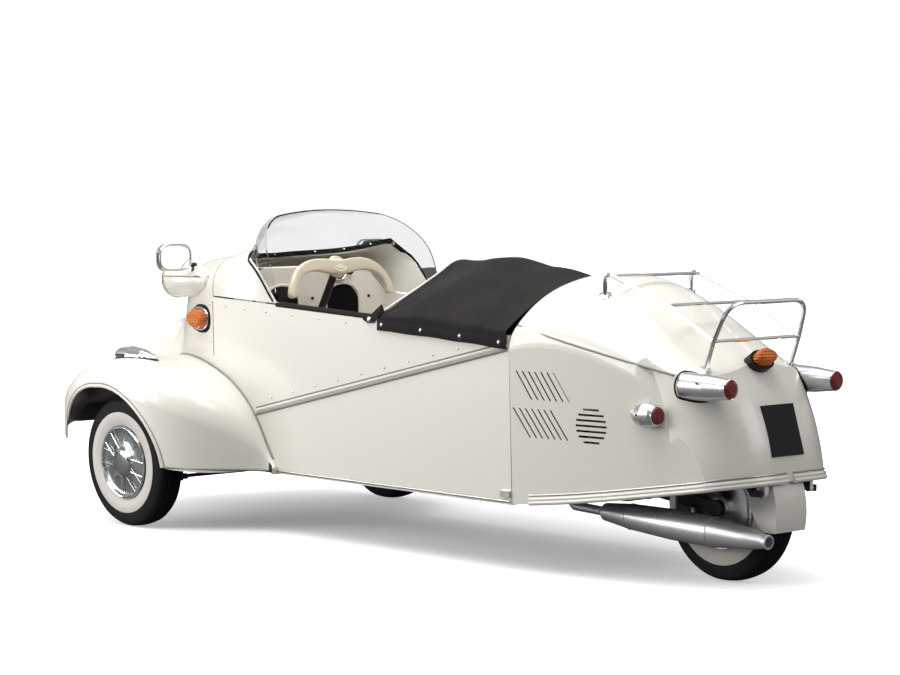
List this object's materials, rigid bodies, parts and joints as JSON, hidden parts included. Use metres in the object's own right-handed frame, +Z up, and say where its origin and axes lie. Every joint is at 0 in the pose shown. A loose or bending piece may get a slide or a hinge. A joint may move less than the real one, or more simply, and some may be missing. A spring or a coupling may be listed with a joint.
{
  "type": "three wheeled car",
  "caption": "Narrow tandem microcar with two front wheels, one rear wheel, a clear bubble windscreen, cloth cockpit cover and a lifting tail.",
  "frame": {"origin": "on the ground, in the middle of the car's overall length and width", "axes": "+Z up, -Y towards the nose, +X towards the car's left side"},
  "size_m": [1.2238, 2.8001, 0.9827],
  "materials": {
    "paint": "gloss cream",
    "chrome": "bright",
    "acrylic": "clear",
    "lens_clear": "ribbed clear",
    "lens_red": "red",
    "lens_amber": "amber",
    "black_plastic": "satin black",
    "interior": "satin cream",
    "grip": "cream",
    "seat_cover": "dark red vinyl",
    "cloth": "charcoal",
    "dark_steel": "satin black",
    "engine_metal": "cast",
    "silencer_metal": "brushed",
    "tyre": "rubber",
    "plate": "gloss black"
  },
  "bodies": {
    "body": {"nose_shell": "paint", "lower_hull": "paint", "side_panel_left": "paint", "side_panel_right": "paint", "fender_left": "paint", "fender_right": "paint", "headlamp_pods": "paint", "headlamp_rims": "chrome", "headlamp_lenses": "lens_clear", "mirrors": "chrome", "indicator_bases": "chrome", "indicator_lenses": "lens_amber", "fender_lamps": "chrome", "tail_latches": "chrome", "dashboard": "interior", "speedometer": "black_plastic", "seat_base": "interior", "seat_pads": "seat_cover", "tonneau_cover": "cloth", "rear_frame": "dark_steel", "engine_block": "engine_metal", "swing_arm": "dark_steel", "silencer": "silencer_metal", "rear_mudguard": "paint", "suspension_arms": "dark_steel"},
    "cowl_lid": {"cowl": "paint", "windscreen": "acrylic"},
    "tail_lid": {"tail_shell": "paint", "rear_lamps": "chrome", "rear_lamp_lenses": "lens_red", "beacon_base": "black_plastic", "beacon_lamp": "lens_amber", "number_plate": "plate", "luggage_rack": "chrome"},
    "steering_bar": {"steering_column": "dark_steel", "handlebar": "grip"},
    "left_knuckle": {"knuckle_left": "dark_steel"},
    "right_knuckle": {"knuckle_right": "dark_steel"},
    "cross_rod": {"track_rod": "dark_steel"},
    "left_front_wheel": {"tyre_front_left": "tyre", "wheel_front_left": "chrome"},
    "right_front_wheel": {"tyre_front_right": "tyre", "wheel_front_right": "chrome"},
    "back_wheel": {"tyre_rear": "tyre", "wheel_rear": "chrome"}
  },
  "joints": [
    {"name": "steering", "type": "hinge", "parent": "body", "child": "steering_bar", "pos_m": [0, -0.505, 0.79], "axis": [0, 0.4907, 0.8713], "range_deg": [-25, 25]},
    {"name": "steer_left", "type": "hinge", "parent": "body", "child": "left_knuckle", "pos_m": [0.41, -0.846, 0.226], "axis": [0, 0, 1], "range_deg": [-25, 25]},
    {"name": "steer_right", "type": "hinge", "parent": "body", "child": "right_knuckle", "pos_m": [-0.41, -0.846, 0.226], "axis": [0, 0, 1], "range_deg": [-25, 25]},
    {"name": "rod_shift", "type": "slide", "parent": "body", "child": "cross_rod", "axis": [1, 0, 0], "range_m": [-0.0343, 0.0343]},
    {"name": "roll_front_left", "type": "hinge", "parent": "left_knuckle", "child": "left_front_wheel", "pos_m": [0.53262, -0.846, 0.20289], "axis": [0.9986, 0, -0.0523], "continuous": true},
    {"name": "roll_front_right", "type": "hinge", "parent": "right_knuckle", "child": "right_front_wheel", "pos_m": [-0.53262, -0.846, 0.20289], "axis": [0.9986, 0, 0.0523], "continuous": true},
    {"name": "roll_rear", "type": "hinge", "parent": "body", "child": "back_wheel", "pos_m": [0, 1.162, 0.203], "axis": [1, 0, 0], "continuous": true},
    {"name": "cowl_opening", "type": "hinge", "parent": "body", "child": "cowl_lid", "pos_m": [-0.344, -0.56, 0.704], "axis": [0, -1, 0], "range_deg": [0, 80]},
    {"name": "tail_opening", "type": "hinge", "parent": "body", "child": "tail_lid", "pos_m": [0, 1.36, 0.262], "axis": [-1, 0, 0], "range_deg": [0, 60]}
  ],
  "couplings": [
    {"joint": "steer_left", "follows": "steering", "ratio": 1},
    {"joint": "steer_right", "follows": "steering", "ratio": 1},
    {"joint": "rod_shift", "follows": "steering", "m_per_rad": -0.0785}
  ]
}
